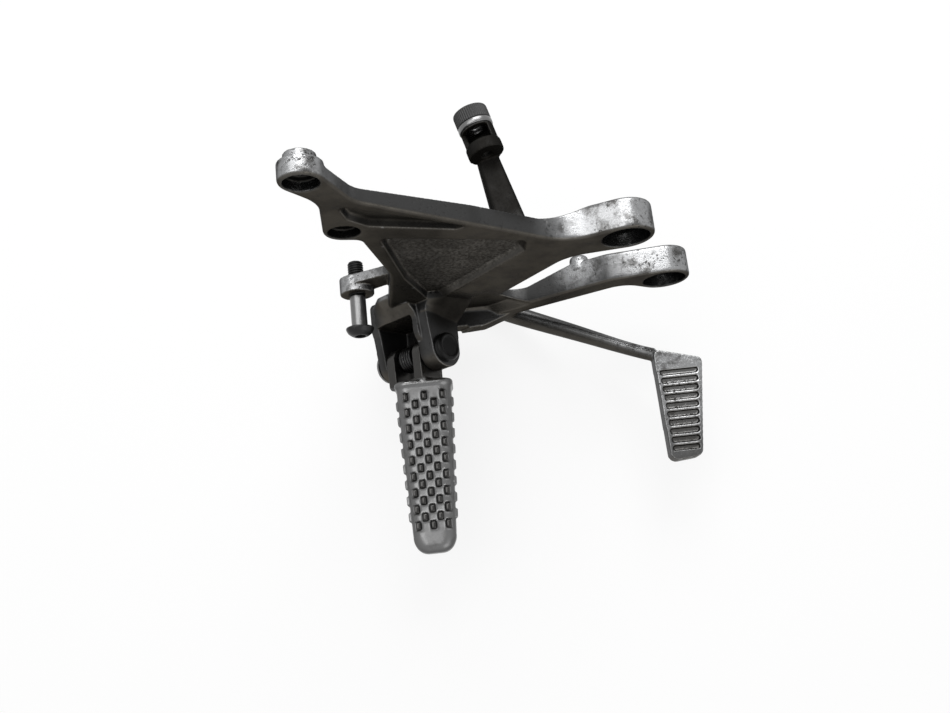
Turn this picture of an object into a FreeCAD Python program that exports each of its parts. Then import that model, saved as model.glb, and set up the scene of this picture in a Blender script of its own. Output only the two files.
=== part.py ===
import FreeCAD, Part
import math
import os
import Sketcher
from FreeCAD import Placement, Rotation, Vector

# Frame: +X forward, +Y inboard towards the machine, +Z up, in millimetres.
# The origin is the upper frame bolt's axis on the inboard mounting face.
sizes = {
    # bolt places, from the upper frame bolt
    "lower_bolt_forward": 30.5,
    "lower_bolt_drop": 65.5,
    "upper_rear_back": 132.5,
    "upper_rear_rise": 86.0,
    "lower_rear_back": 123.5,
    "lower_rear_rise": 37.5,
    # casting sections
    "casting_depth": 15.0,
    "spar_depth": 9.0,
    "rear_depth": 6.0,
    "rear_boss_depth": 8.0,
    "edge_round": 1.6,
    "front_boss_rad": 13.3,
    "frame_bolt_rad": 5.25,
    "frame_head_rad": 11.0,
    "frame_head_depth": 9.5,
    "rear_boss_rad": 8.75,
    "rear_bolt_rad": 3.3,
    "rear_head_rad": 6.75,
    "rear_head_depth": 4.6,
    "rear_collar_rad": 6.25,
    "rear_collar_length": 3.6,
    "upper_pocket_depth": 3.3,
    "main_pocket_depth": 3.8,
    "web_recess_depth": 5.0,
    # peg clevis, on a pin that rises towards the front
    "pin_tilt": 45.0,
    "pin_back": 104.5,
    "pin_out": 39.2,
    "pin_drop": 84.0,
    "pin_rad": 5.0,
    "pin_play": 0.05,
    "clevis_gap": 27.0,
    "clevis_floor_out": 20.0,
    "front_ear": 10.5,
    "rear_ear": 6.0,
    "ear_rad": 11.5,
    "pin_head_rad": 7.5,
    "pin_head_height": 4.5,
    "pin_tail": 5.0,
    "pin_washer_rad": 8.5,
    "pin_washer_thick": 1.2,
    "clip_groove_rad": 4.0,
    "clip_rad": 7.5,
    "clip_thick": 1.2,
    # folding peg
    "fork_play": 0.35,
    "lug_thick": 6.0,
    "lug_rad": 8.0,
    "peg_root_out": 53.5,
    "peg_length": 88.0,
    "peg_ahead": 4.0,
    "peg_sweep": 1.4,
    "peg_root_width": 29.0,
    "peg_tip_width": 21.0,
    "peg_root_height": 25.0,
    "peg_tip_height": 15.0,
    "peg_tip_top_fall": 2.0,
    "peg_corner": 6.0,
    "peg_nose": 9.0,
    "peg_nose_taper": 3.4,
    "peg_lip": 0.8,
    "peg_lip_length": 3.6,
    "block_width": 3.4,
    "block_length": 4.6,
    "block_height": 1.9,
    "block_taper": 20.0,
    "side_block_height": 1.1,
    "block_pitch": 8.2,
    "block_bite": 2.0,
    "peg_spring_wire": 1.4,
    "peg_spring_play": 0.7,
    # brake pedal
    "pivot_back": 90.0,
    "pivot_drop": 92.0,
    "pivot_boss_rad": 13.0,
    "pivot_rad": 6.0,
    "pivot_thread_rad": 4.0,
    "pivot_thread_length": 12.0,
    "pivot_play": 0.04,
    "bush_wall": 2.0,
    "hub_rad": 12.5,
    "hub_length": 19.0,
    "hub_end_play": 0.3,
    "seal_thick": 1.2,
    "seal_rad": 9.8,
    "pivot_washer_rad": 11.5,
    "pivot_washer_thick": 1.6,
    "pivot_head_rad": 8.5,
    "pivot_head_height": 5.5,
    "spring_seat_rad": 9.6,
    "spring_seat_length": 8.2,
    "pedal_spring_wire": 2.0,
    "pedal_spring_play": 0.5,
    "lever_back": 19.0,
    "lever_drop": 6.0,
    "lever_eye_rad": 6.5,
    "lever_hole_rad": 3.1,
    "lever_thick": 7.0,
    "arm_root_width": 12.6,
    "arm_neck_width": 7.4,
    "arm_root_height": 13.0,
    "arm_neck_height": 9.0,
    "arm_dip": 115.5,
    "pad_top_drop": 79.0,
    "pad_thick": 9.0,
    "pad_near_forward": 21.8,
    "pad_inner_out": 48.0,
    "pad_length": 60.0,
    "pad_inner_width": 25.4,
    "pad_outer_width": 16.5,
    "pad_cap_length": 8.0,
    "pad_rib_pitch": 4.5,
    "pad_groove_width": 2.4,
    "pad_groove_depth": 1.6,
    "pad_rim": 1.8,
    # rear lug and its button-head bolt
    "lug_back": 128.5,
    "lug_drop": 50.0,
    "lug_ring_rad": 8.6,
    "lug_depth": 8.6,
    "lug_arm_depth": 5.0,
    "lug_out": 3.4,
    "guard_shank_rad": 4.0,
    "guard_play": 0.05,
    "guard_grip": 17.4,
    "guard_tip": 9.0,
    "guard_head_rad": 7.0,
    "guard_head_height": 4.4,
    # stay that leans inboard, with its collar and buffer
    "stay_back": 59.9,
    "stay_in": 22.9,
    "stay_rise": 20.0,
    "stay_lean": 14.5,
    "stay_lug_rad": 8.2,
    "stay_lug_thick": 5.0,
    "stay_boss_rad": 7.6,
    "stay_boss_length": 8.0,
    "stay_bore_rad": 5.2,
    "stay_tap_rad": 2.5,
    "collar_rad": 8.0,
    "collar_thick": 2.8,
    "collar_bore_rad": 3.2,
    "buffer_rad": 8.0,
    "buffer_thick": 6.4,
    "buffer_groove": 0.5,
}

doc = FreeCAD.newDocument("footrest_hanger")
sheet = doc.addObject("Spreadsheet::Sheet", "sizes")
for row, (name, value) in enumerate(sizes.items(), 1):
    sheet.set("A%d" % row, name)
    sheet.set("B%d" % row, str(value))
    sheet.setAlias("B%d" % row, name)
doc.recompute()
v = {name: float(sheet.get(name)) for name in sizes}

# Directions of the tilted pin: along it, and square to it pointing up and back.
tilt = math.radians(v["pin_tilt"])
pin_along = Vector(math.cos(tilt), 0, math.sin(tilt))
pin_rise = Vector(-math.sin(tilt), 0, math.cos(tilt))
outboard = Vector(0, -1, 0)
pin_centre = Vector(-v["pin_back"], -v["pin_out"], -v["pin_drop"])
pin_turn = Rotation(outboard, pin_rise, pin_along * -1, "ZXY")

# Direction of the leaning stay.
lean = math.radians(v["stay_lean"])
stay_along = Vector(-math.sin(lean), math.cos(lean), 0)
stay_side = Vector(math.cos(lean), math.sin(lean), 0)
stay_face = Vector(-v["stay_back"], v["stay_in"], v["stay_rise"])
stay_turn = Rotation(stay_side, Vector(0, 0, 1), stay_along * -1, "ZXY")

face_out = -v["casting_depth"]


def new_body(name):
    body = doc.addObject("PartDesign::Body", name)
    body.Label = name
    return body


def sketch_on(body, name, plane, x="0", y="0", z="0", turn=None):
    sketch = body.newObject("Sketcher::SketchObject", name)
    planes = {item.Role: item for item in body.Origin.OriginFeatures}
    sketch.AttachmentSupport = [(planes[plane], "")]
    sketch.MapMode = "FlatFace"
    if turn:
        sketch.AttachmentOffset = Placement(Vector(), turn)
    for axis, formula in zip("xyz", (x, y, z)):
        sketch.setExpression("AttachmentOffset.Base." + axis, formula)
    return sketch


# Where a sketch square to the pin, or to the stay, sits at a distance along it.
def on_pin(distance):
    return {"x": "-sizes.pin_back + cos(sizes.pin_tilt * 1 deg) * (%s)" % distance,
            "y": "-sizes.pin_out",
            "z": "-sizes.pin_drop + sin(sizes.pin_tilt * 1 deg) * (%s)" % distance,
            "turn": pin_turn}


def on_stay(distance):
    return {"x": "-sizes.stay_back - sin(sizes.stay_lean * 1 deg) * (%s)" % distance,
            "y": "sizes.stay_in + cos(sizes.stay_lean * 1 deg) * (%s)" % distance,
            "z": "sizes.stay_rise",
            "turn": stay_turn}


def disc(sketch, radius):
    geo = sketch.addGeometry(Part.Circle(Vector(), Vector(0, 0, 1), 1.0))
    sketch.addConstraint(Sketcher.Constraint("Coincident", geo, 3, -1, 1))
    at = sketch.addConstraint(Sketcher.Constraint("Radius", geo, 1.0))
    sketch.renameConstraint(at, "radius")
    sketch.setExpression("Constraints.radius", radius)


def flat(x, y):
    return Vector(x, y, 0)


def arc_between(centre, start, end, clockwise):
    first = math.atan2(start.y - centre.y, start.x - centre.x)
    last = math.atan2(end.y - centre.y, end.x - centre.x)
    sweep = (first - last if clockwise else last - first) % (2 * math.pi)
    middle = first + (-sweep if clockwise else sweep) / 2
    radius = (start - centre).Length
    return Part.Arc(start, centre + flat(math.cos(middle), math.sin(middle)) * radius, end)


# An outline that runs clockwise like a belt round wheels (x, y, radius). A wheel with a
# positive radius is inside the outline, and one with a negative radius presses in from outside.
def belt(sketch, wheels):
    spans = []
    for here, there in zip(wheels, wheels[1:] + wheels[:1]):
        start = flat(here[0], here[1])
        end = flat(there[0], there[1])
        step = end - start
        across = here[2] - there[2]
        along = math.sqrt(step.Length ** 2 - across ** 2)
        turn = math.atan2(step.y, step.x) - math.atan2(across, along)
        left = flat(-math.sin(turn), math.cos(turn))
        spans.append((start + left * here[2], end + left * there[2]))
    for index, wheel in enumerate(wheels):
        arrive = spans[index - 1][1]
        leave = spans[index][0]
        centre = flat(wheel[0], wheel[1])
        sketch.addGeometry(arc_between(centre, arrive, leave, wheel[2] > 0))
        sketch.addGeometry(Part.LineSegment(leave, spans[index][1]))


# A closed outline of corners (x, y, radius), each rounded by its own radius.
def rounded(sketch, corners):
    cuts = []
    for index, (x, y, radius) in enumerate(corners):
        point = flat(x, y)
        before = flat(*corners[index - 1][:2]) - point
        after = flat(*corners[(index + 1) % len(corners)][:2]) - point
        half = before.getAngle(after) / 2
        reach = radius / math.tan(half)
        before.normalize()
        after.normalize()
        inward = before + after
        inward.normalize()
        centre = point + inward * (radius / math.sin(half))
        cuts.append((point + before * reach, centre - inward * radius, point + after * reach))
    for index, (arrive, middle, leave) in enumerate(cuts):
        sketch.addGeometry(Part.Arc(arrive, middle, leave))
        sketch.addGeometry(Part.LineSegment(leave, cuts[(index + 1) % len(cuts)][0]))


def rectangle(sketch, x0, y0, x1, y1):
    points = [flat(x0, y0), flat(x1, y0), flat(x1, y1), flat(x0, y1)]
    for start, end in zip(points, points[1:] + points[:1]):
        sketch.addGeometry(Part.LineSegment(start, end))


def raise_pad(body, sketch, length, name, reverse=False, taper=None):
    pad = body.newObject("PartDesign::Pad", name)
    pad.Profile = sketch
    pad.Reversed = reverse
    pad.setExpression("Length", length)
    if taper:
        pad.setExpression("TaperAngle", taper)
    doc.recompute()
    return pad


def cut_pocket(body, sketch, length, name, reverse=False):
    before = body.Shape.Volume
    pocket = body.newObject("PartDesign::Pocket", name)
    pocket.Profile = sketch
    pocket.Reversed = reverse
    pocket.setExpression("Length", length)
    doc.recompute()
    if body.Shape.Volume >= before:
        raise ValueError(name + " cuts nothing")
    return pocket


def blend(body, kind, name, sketches, ruled=True):
    loft = body.newObject("PartDesign::" + kind, name)
    loft.Profile = sketches[0]
    loft.Sections = sketches[1:]
    loft.Ruled = ruled
    doc.recompute()
    return loft


def round_edges(body, base, name, radius, wanted):
    edges = ["Edge%d" % (i + 1) for i, edge in enumerate(base.Shape.Edges) if wanted(edge)]
    fillet = body.newObject("PartDesign::Fillet", name)
    fillet.Base = (base, edges)
    fillet.setExpression("Radius", radius)
    doc.recompute()
    return fillet


def lies_at(edge, axis, value):
    box = edge.BoundBox
    low, high = {"y": (box.YMin, box.YMax), "z": (box.ZMin, box.ZMax)}[axis]
    return abs(low - value) < 1e-4 and abs(high - value) < 1e-4


# The casting: plate, arms, bosses, clevis and rear lug
casting = new_body("hanger_casting")

upper_rear = (-v["upper_rear_back"], v["upper_rear_rise"])
lower_rear = (-v["lower_rear_back"], v["lower_rear_rise"])
lower_front = (v["lower_bolt_forward"], -v["lower_bolt_drop"])
pivot = (-v["pivot_back"], -v["pivot_drop"])

plate_sketch = sketch_on(casting, "plate_outline", "XZ_Plane")
belt(plate_sketch, [
    (*upper_rear, v["rear_boss_rad"]),
    (upper_rear[0] + 28.5, upper_rear[1] - 10.5, -14.0),
    (-24.7, 12.4 + v["front_boss_rad"], -20.0),
    (0.0, 0.0, v["front_boss_rad"]),
    (-13.0, -22.7 - v["front_boss_rad"], -20.0),
    (-45.7, pivot[1] + 21.6, -12.0),
    (lower_front[0] - 25.5, lower_front[1] - 5.0, v["front_boss_rad"] + 0.5),
    (*lower_front, v["front_boss_rad"]),
    (lower_front[0] - 21.5, lower_front[1] - 4.0 - v["front_boss_rad"], -13.0),
    (pivot[0] + 28.0, pivot[1] - 3.0, v["pivot_boss_rad"] - 1.0),
    (*pivot, v["pivot_boss_rad"]),
    (pivot[0] - 17.0, pivot[1] + 17.0, 8.0),
    (pivot[0] - 68.0, -20.0, -48.0),
    (lower_rear[0] + 1.2, lower_rear[1] - 5.6 - v["rear_boss_rad"], -5.0),
    (*lower_rear, v["rear_boss_rad"]),
    (upper_rear[0] - 14.25 - v["rear_boss_rad"] / 2, upper_rear[1] - 25.0, -21.0),
])
plate = raise_pad(casting, plate_sketch, "sizes.casting_depth", "plate")
plate_round = round_edges(casting, plate, "plate_edge", "sizes.edge_round",
                          lambda edge: lies_at(edge, "y", face_out) or lies_at(edge, "y", 0.0))

# The inboard side is cut back to thinner spars behind the two front bosses.
rear_back = face_out + v["rear_depth"]
spar_back = face_out + v["spar_depth"]
relief_sketch = sketch_on(casting, "inboard_relief_outline", "XY_Plane", z="-200")
relief_ends = [flat(-200, 5), flat(-200, rear_back), flat(upper_rear[0] + 12, rear_back),
               flat(-70, spar_back), flat(-40, spar_back), flat(-16, 0.0), flat(-16, 5)]
for start, end in zip(relief_ends, relief_ends[1:] + relief_ends[:1]):
    relief_sketch.addGeometry(Part.LineSegment(start, end))
cut_pocket(casting, relief_sketch, "400", "inboard_relief", reverse=True)


def drafted_pocket(name, mouth, floor, depth):
    mouth_sketch = sketch_on(casting, name + "_mouth", "XZ_Plane", z="sizes.casting_depth")
    rounded(mouth_sketch, mouth)
    floor_sketch = sketch_on(casting, name + "_floor", "XZ_Plane", z="sizes.casting_depth - " + depth)
    rounded(floor_sketch, floor)
    before = casting.Shape.Volume
    blend(casting, "SubtractiveLoft", name, [mouth_sketch, floor_sketch])
    if casting.Shape.Volume >= before:
        raise ValueError(name + " cuts nothing")


# Upper pocket: a long slope down from the ridge to a steep lower wall above the rib.
drafted_pocket(
    "upper_pocket",
    [(-123.0, 64.5, 2.0), (-72.0, 31.5, 1.5), (-77.0, 29.5, 1.5), (-113.0, 41.5, 4.0), (-120.5, 50.0, 3.0)],
    [(-121.5, 57.0, 1.0), (-76.5, 31.2, 0.4), (-78.0, 30.6, 0.4), (-112.5, 42.6, 3.0), (-119.4, 50.6, 2.0)],
    "sizes.upper_pocket_depth")

# Main pocket: rough floor, soft slope at the top and a rounded lower corner.
drafted_pocket(
    "main_pocket",
    [(-110.0, 28.5, 2.5), (-46.0, 9.5, 4.0), (-46.0, -3.0, 4.0), (-71.0, -38.0, 12.0), (-91.5, -66.0, 5.0),
     (-103.0, -26.0, 30.0)],
    [(-108.0, 21.5, 2.0), (-49.0, 4.5, 3.0), (-48.5, -3.5, 3.0), (-72.2, -36.5, 12.0), (-91.8, -62.5, 4.0),
     (-101.5, -26.0, 30.0)],
    "sizes.main_pocket_depth")

# Bowl under the lower spar, between the clevis and the arms.
drafted_pocket(
    "web_recess",
    [(-83.5, -75.5, 3.0), (-64.5, -57.0, 6.0), (-54.0, -70.0, 6.0), (-34.0, pivot[1] + 10.0, 5.0),
     (-60.0, pivot[1] - 6.0, 6.0), (-80.0, pivot[1] - 6.0, 4.0)],
    [(-80.0, -77.5, 3.0), (-66.0, -63.5, 5.0), (-58.0, -73.0, 4.0), (-50.0, pivot[1] + 6.5, 3.0),
     (-61.0, pivot[1] - 2.5, 5.0), (-77.0, pivot[1] - 3.0, 4.0)],
    "sizes.web_recess_depth")

# Ledge along the bottom lip that swells outboard into the clevis.
ledge_sketch = sketch_on(casting, "toe_ledge_outline", "XY_Plane", z="-sizes.pivot_drop - 14")
rounded(ledge_sketch, [
    (pivot[0] - 6.0, face_out + 3.0, 1.0), (-40.0, face_out + 3.0, 1.0), (-50.0, face_out - 0.5, 6.0),
    (-64.0, face_out - 5.6, 8.0), (pivot[0] - 6.0, face_out - 7.5, 1.0)])
raise_pad(casting, ledge_sketch, "10", "toe_ledge")

# Clevis: one block across both ears, then the gap between them.
front_face = v["clevis_gap"] / 2 + v["front_ear"]
block_width = "sizes.clevis_gap + sizes.front_ear + sizes.rear_ear"
to_plate = v["pin_out"] + face_out
floor_in = v["clevis_floor_out"] - v["pin_out"]
clevis_sketch = sketch_on(casting, "clevis_outline", "XY_Plane", **on_pin("sizes.clevis_gap / 2 + sizes.front_ear"))
belt(clevis_sketch, [
    (0.0, -1.6, v["ear_rad"] - 1.8),
    (-to_plate + 1.0, -v["ear_rad"] + 3.0, 3.0),
    (-to_plate + 1.0, v["ear_rad"] - 5.0, 5.0)])
raise_pad(casting, clevis_sketch, block_width, "clevis_block")
root_sketch = sketch_on(casting, "clevis_root_outline", "XY_Plane", **on_pin("1"))
belt(root_sketch, [
    (-to_plate + 4.0, 0.0, v["ear_rad"]),
    (-to_plate - 7.5, -v["ear_rad"] + 3.0, 3.0),
    (-to_plate - 7.5, v["ear_rad"] - 3.0, 3.0)])
raise_pad(casting, root_sketch, "sizes.clevis_gap / 2 + sizes.rear_ear + 1", "clevis_root")

# The plate's face sweeps out in a hollow curve to the clevis roof, and fades towards the rear ear.
flare_sections = []
for index, (along_pin, rise) in enumerate([("sizes.clevis_gap / 2 + 4", 9.0), ("0", 9.0), ("-sizes.clevis_gap / 2", 1.0)]):
    flare_sketch = sketch_on(casting, "clevis_flare_%d" % (index + 1), "XY_Plane", **on_pin(along_pin))
    belt(flare_sketch, [
        (-to_plate + 12.0, 0.0, v["ear_rad"]),
        (-to_plate - 7.5, -v["ear_rad"] + 3.0, 3.0),
        (-to_plate - 5.0, v["ear_rad"] + rise, 2.0),
        (-to_plate + 10.0, v["ear_rad"] + 10.0, -10.0)])
    flare_sections.append(flare_sketch)
blend(casting, "AdditiveLoft", "clevis_flare", flare_sections)

# Thick web in front of the front ear, where the body's face runs out onto it.
web_turn = Rotation(outboard, pin_along, pin_rise, "ZXY")
web_sections = []
for index, (rise, grow, reach) in enumerate([(-v["ear_rad"], 4.0, 12.0), (5.0, 0.6, 9.0), (v["ear_rad"], 0.2, 3.0)]):
    place = pin_centre + pin_rise * rise
    web_sketch = sketch_on(casting, "ear_web_%d" % (index + 1), "XY_Plane", "%g" % place.x, "%g" % place.y,
                           "%g" % place.z, web_turn)
    edge = floor_in + grow
    rounded(web_sketch, [
        (-to_plate - 3.0, 20.0, 0.5), (-to_plate - 3.0, front_face + reach + 0.5, 0.3),
        (-to_plate + 0.3, front_face + reach, 0.6), (edge - 2.6, front_face + 0.35 * reach, 0.8),
        (edge, front_face + 0.4, 0.4), (edge, 20.0, 0.5)])
    web_sections.append(web_sketch)
blend(casting, "AdditiveLoft", "ear_web", web_sections)

gap_sketch = sketch_on(casting, "clevis_gap_outline", "XY_Plane", **on_pin("sizes.clevis_gap / 2"))
rectangle(gap_sketch, floor_in, -3 * v["ear_rad"], 2 * v["ear_rad"], 3 * v["ear_rad"])
cut_pocket(casting, gap_sketch, "sizes.clevis_gap", "clevis_gap_cut", reverse=True)

# Wall that shuts the clevis underneath, clear of the fork's round ends.
shelf_sketch = sketch_on(casting, "clevis_shelf_outline", "XY_Plane", **on_pin("sizes.clevis_gap / 2 + 1"))
rectangle(shelf_sketch, floor_in - 2.0, -v["ear_rad"] + 0.4, -1.0, -v["lug_rad"] - 0.7)
raise_pad(casting, shelf_sketch, "sizes.clevis_gap + 2", "clevis_shelf")

pin_hole_sketch = sketch_on(casting, "pin_hole_outline", "XY_Plane",
                            **on_pin("sizes.clevis_gap / 2 + sizes.front_ear + 1"))
disc(pin_hole_sketch, "sizes.pin_rad + sizes.pin_play")
cut_pocket(casting, pin_hole_sketch, block_width + " + 2", "pin_hole", reverse=True)

# Inboard boss for the pedal's pivot bolt, with its tapped hole.
pivot_place = {"x": "-sizes.pivot_back", "y": "-sizes.pivot_drop"}
pivot_sketch = sketch_on(casting, "pivot_boss_outline", "XZ_Plane", **pivot_place)
disc(pivot_sketch, "sizes.pivot_boss_rad")
raise_pad(casting, pivot_sketch, "sizes.casting_depth - 1", "pivot_boss")
tap_sketch = sketch_on(casting, "pivot_tap_outline", "XZ_Plane", **pivot_place)
disc(tap_sketch, "sizes.pivot_thread_rad + sizes.pivot_play")
cut_pocket(casting, tap_sketch, "sizes.pivot_thread_length + 1", "pivot_tap", reverse=True)

# Rear lug: ring and arm, with the hole for the guard bolt.
lug_arm_sketch = sketch_on(casting, "lug_arm_outline", "XZ_Plane", z="sizes.lug_out")
belt(lug_arm_sketch, [(-v["lug_back"], -v["lug_drop"], v["lug_ring_rad"] - 0.6),
                      (pivot[0] - 17.0, -v["lug_drop"] + 12.0, 6.0)])
raise_pad(casting, lug_arm_sketch, "sizes.lug_arm_depth", "lug_arm")
lug_sketch = sketch_on(casting, "rear_lug_outline", "XZ_Plane", x="-sizes.lug_back", y="-sizes.lug_drop",
                       z="sizes.lug_out")
disc(lug_sketch, "sizes.lug_ring_rad")
raise_pad(casting, lug_sketch, "sizes.lug_depth", "rear_lug")
lug_hole_sketch = sketch_on(casting, "lug_hole_outline", "XZ_Plane", x="-sizes.lug_back", y="-sizes.lug_drop",
                            z="sizes.lug_out")
disc(lug_hole_sketch, "sizes.guard_shank_rad + sizes.guard_play")
cut_pocket(casting, lug_hole_sketch, "sizes.lug_depth", "lug_hole", reverse=True)

# Small domed knob on the lower arm's inboard side.
knob_sketch = sketch_on(casting, "arm_knob_outline", "XZ_Plane", x="-12", y="-sizes.lower_bolt_drop - 4", z="-4")
disc(knob_sketch, "5")
knob = raise_pad(casting, knob_sketch, "8", "arm_knob")
round_edges(casting, knob, "arm_knob_dome", "2.5", lambda edge: lies_at(edge, "y", 4.0))


# Collars behind the rear bosses, then every bolt hole with its head seat.
def bolt_seat(name, x, z, bolt, head, head_depth):
    seat_sketch = sketch_on(casting, name + "_seat_outline", "XZ_Plane", x=x, y=z, z="sizes.casting_depth")
    disc(seat_sketch, head)
    cut_pocket(casting, seat_sketch, head_depth, name + "_seat")
    hole_sketch = sketch_on(casting, name + "_hole_outline", "XZ_Plane", x=x, y=z, z="sizes.casting_depth")
    disc(hole_sketch, bolt)
    cut_pocket(casting, hole_sketch, "sizes.casting_depth + 1", name + "_hole")


rear_bosses = {
    "upper_rear": ("-sizes.upper_rear_back", "sizes.upper_rear_rise"),
    "lower_rear": ("-sizes.lower_rear_back", "sizes.lower_rear_rise"),
}
for name, (x, z) in rear_bosses.items():
    boss_sketch = sketch_on(casting, name + "_boss_outline", "XZ_Plane", x=x, y=z,
                            z="sizes.casting_depth - sizes.rear_boss_depth")
    disc(boss_sketch, "sizes.rear_boss_rad")
    raise_pad(casting, boss_sketch, "sizes.rear_boss_depth - 2", name + "_boss")
    collar_sketch = sketch_on(casting, name + "_collar_outline", "XZ_Plane", x=x, y=z,
                              z="sizes.casting_depth - sizes.rear_boss_depth - sizes.rear_collar_length")
    disc(collar_sketch, "sizes.rear_collar_rad")
    raise_pad(casting, collar_sketch, "sizes.rear_collar_length + 1", name + "_collar")
    bolt_seat(name, x, z, "sizes.rear_bolt_rad", "sizes.rear_head_rad", "sizes.rear_head_depth")
front_bosses = {
    "upper_front": ("0", "0"),
    "lower_front": ("sizes.lower_bolt_forward", "-sizes.lower_bolt_drop"),
}
for name, (x, z) in front_bosses.items():
    bolt_seat(name, x, z, "sizes.frame_bolt_rad", "sizes.frame_head_rad", "sizes.frame_head_depth")

# The stay: a strut that stands on the top spar's inboard face, a lug, and an open-sided boss on the leaning axis
stay = new_body("stay_bracket")
strut_root = sketch_on(stay, "strut_root", "XZ_Plane", z="sizes.casting_depth - sizes.spar_depth")
rounded(strut_root, [(-59.5, 4.0, 2.5), (-45.5, 3.0, 2.5), (-45.5, 15.0, 2.5), (-59.5, 16.0, 2.5)])
strut_end = sketch_on(stay, "strut_end", "XZ_Plane", z="-sizes.stay_in - 3")
end_x = stay_face.x - 1.0
end_z = stay_face.z - v["stay_lug_rad"]
rounded(strut_end, [(end_x - 3.8, end_z - 2.5, 2.0), (end_x + 6.2, end_z - 2.5, 2.0),
                    (end_x + 6.2, end_z + 4.5, 2.0), (end_x - 3.8, end_z + 4.5, 2.0)])
blend(stay, "AdditiveLoft", "stay_strut", [strut_root, strut_end])


def stay_sketch(name, distance, radius):
    sketch = sketch_on(stay, name + "_outline", "XY_Plane", **on_stay(distance))
    disc(sketch, radius)
    return sketch


boss_end = v["stay_lug_thick"] + v["stay_boss_length"]
raise_pad(stay, stay_sketch("stay_lug", "0", "sizes.stay_lug_rad"), "sizes.stay_lug_thick", "stay_lug", reverse=True)
raise_pad(stay, stay_sketch("stay_boss", "0", "sizes.stay_boss_rad"),
          "sizes.stay_lug_thick + sizes.stay_boss_length", "stay_boss", reverse=True)
cut_pocket(stay, stay_sketch("stay_bore", "sizes.stay_lug_thick", "sizes.stay_bore_rad"),
           "sizes.stay_boss_length + 1", "stay_bore")
cut_pocket(stay, stay_sketch("stay_tap", "0", "sizes.stay_tap_rad"), "sizes.stay_lug_thick + 1", "stay_tap")
window_sketch = sketch_on(stay, "stay_window_outline", "XY_Plane", **on_stay("sizes.stay_lug_thick + 0.6"))
rectangle(window_sketch, -2 * v["stay_boss_rad"], 0.0, v["stay_bore_rad"] - 1.0, 2 * v["stay_boss_rad"])
cut_pocket(stay, window_sketch, "sizes.stay_boss_length - 1.4", "stay_window")

# The folding peg: tapered bar, fork lugs and tread blocks
peg = new_body("footpeg")
peg_mid_z = -v["pin_drop"]
peg_top = peg_mid_z + v["peg_root_height"] / 2
peg_root_x = -v["pin_back"] + v["peg_ahead"]
peg_end_out = v["peg_root_out"] + v["peg_length"]


def bar_section(name, out, x, width, height, top, corner):
    sketch = sketch_on(peg, name, "XZ_Plane", z=out)
    rounded(sketch, [(x - width / 2, top - height, corner), (x + width / 2, top - height, corner),
                     (x + width / 2, top, corner), (x - width / 2, top, corner)])
    return sketch


# Section of the tapered bar some way along it, slimmer by "slim" on each side.
def bar_along(name, out, along, slim=0.0):
    share = along / v["peg_length"]
    return bar_section(
        name, out, peg_root_x - share * v["peg_sweep"],
        v["peg_root_width"] + share * (v["peg_tip_width"] - v["peg_root_width"]) - 2 * slim,
        v["peg_root_height"] + share * (v["peg_tip_height"] - v["peg_root_height"]),
        peg_top - share * v["peg_tip_top_fall"], v["peg_corner"])


nose_start = "sizes.peg_root_out + sizes.peg_length - sizes.peg_nose"
blend(peg, "AdditiveLoft", "tread_bar", [
    bar_along("bar_root", "sizes.peg_root_out", 0.0),
    bar_along("bar_end", nose_start, v["peg_length"] - v["peg_nose"])])
nose = blend(peg, "AdditiveLoft", "bar_nose", [
    bar_along("nose_root", nose_start, v["peg_length"] - v["peg_nose"]),
    bar_along("nose_tip", "sizes.peg_root_out + sizes.peg_length", v["peg_length"], v["peg_nose_taper"])])
round_edges(peg, nose, "tip_round", "sizes.peg_corner - 1", lambda edge: lies_at(edge, "y", -peg_end_out))

# Rounded lip round the bar's root.
lip_sections = []
for index, (share, grow) in enumerate([(0.0, 0.2), (0.25, 1.0), (0.65, 1.0), (1.0, 0.0)]):
    swell = grow * v["peg_lip"]
    lip_sections.append(bar_section(
        "lip_section_%d" % (index + 1), "sizes.peg_root_out + %g * sizes.peg_lip_length" % share, peg_root_x,
        v["peg_root_width"] + 2 * swell, v["peg_root_height"] + 2 * swell, peg_top + swell, v["peg_corner"] + swell))
blend(peg, "AdditiveLoft", "root_lip", lip_sections)

# Fork lugs, square to the tilted pin, with the gap between them for the spring.
fork_half = v["clevis_gap"] / 2 - v["fork_play"]
fork_gap = "sizes.clevis_gap - 2 * sizes.fork_play - 2 * sizes.lug_thick"
root_reach = v["peg_root_out"] - v["pin_out"]
fork_sketch = sketch_on(peg, "fork_outline", "XY_Plane", **on_pin("sizes.clevis_gap / 2 - sizes.fork_play"))
belt(fork_sketch, [(0.0, 0.0, v["lug_rad"]), (root_reach - 1.5, 5.0, 2.5), (root_reach - 1.5, -5.0, 2.5)])
raise_pad(peg, fork_sketch, "sizes.clevis_gap - 2 * sizes.fork_play", "fork")
slot_sketch = sketch_on(peg, "fork_slot_outline", "XY_Plane",
                        **on_pin("sizes.clevis_gap / 2 - sizes.fork_play - sizes.lug_thick"))
rectangle(slot_sketch, -2 * v["lug_rad"], -3 * v["lug_rad"], root_reach - 1.5, 3 * v["lug_rad"])
cut_pocket(peg, slot_sketch, fork_gap, "fork_slot", reverse=True)
peg_hole_sketch = sketch_on(peg, "peg_hole_outline", "XY_Plane", **on_pin("sizes.clevis_gap / 2"))
disc(peg_hole_sketch, "sizes.pin_rad + sizes.pin_play")
cut_pocket(peg, peg_hole_sketch, "sizes.clevis_gap", "peg_hole", reverse=True)

# Tread blocks: five staggered columns on top and one along each side.
top_slope = math.atan2(v["peg_tip_top_fall"], v["peg_length"])
side_slope = math.atan2((v["peg_root_width"] - v["peg_tip_width"]) / 2, v["peg_length"])
sweep_slope = math.atan2(v["peg_sweep"], v["peg_length"])


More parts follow.
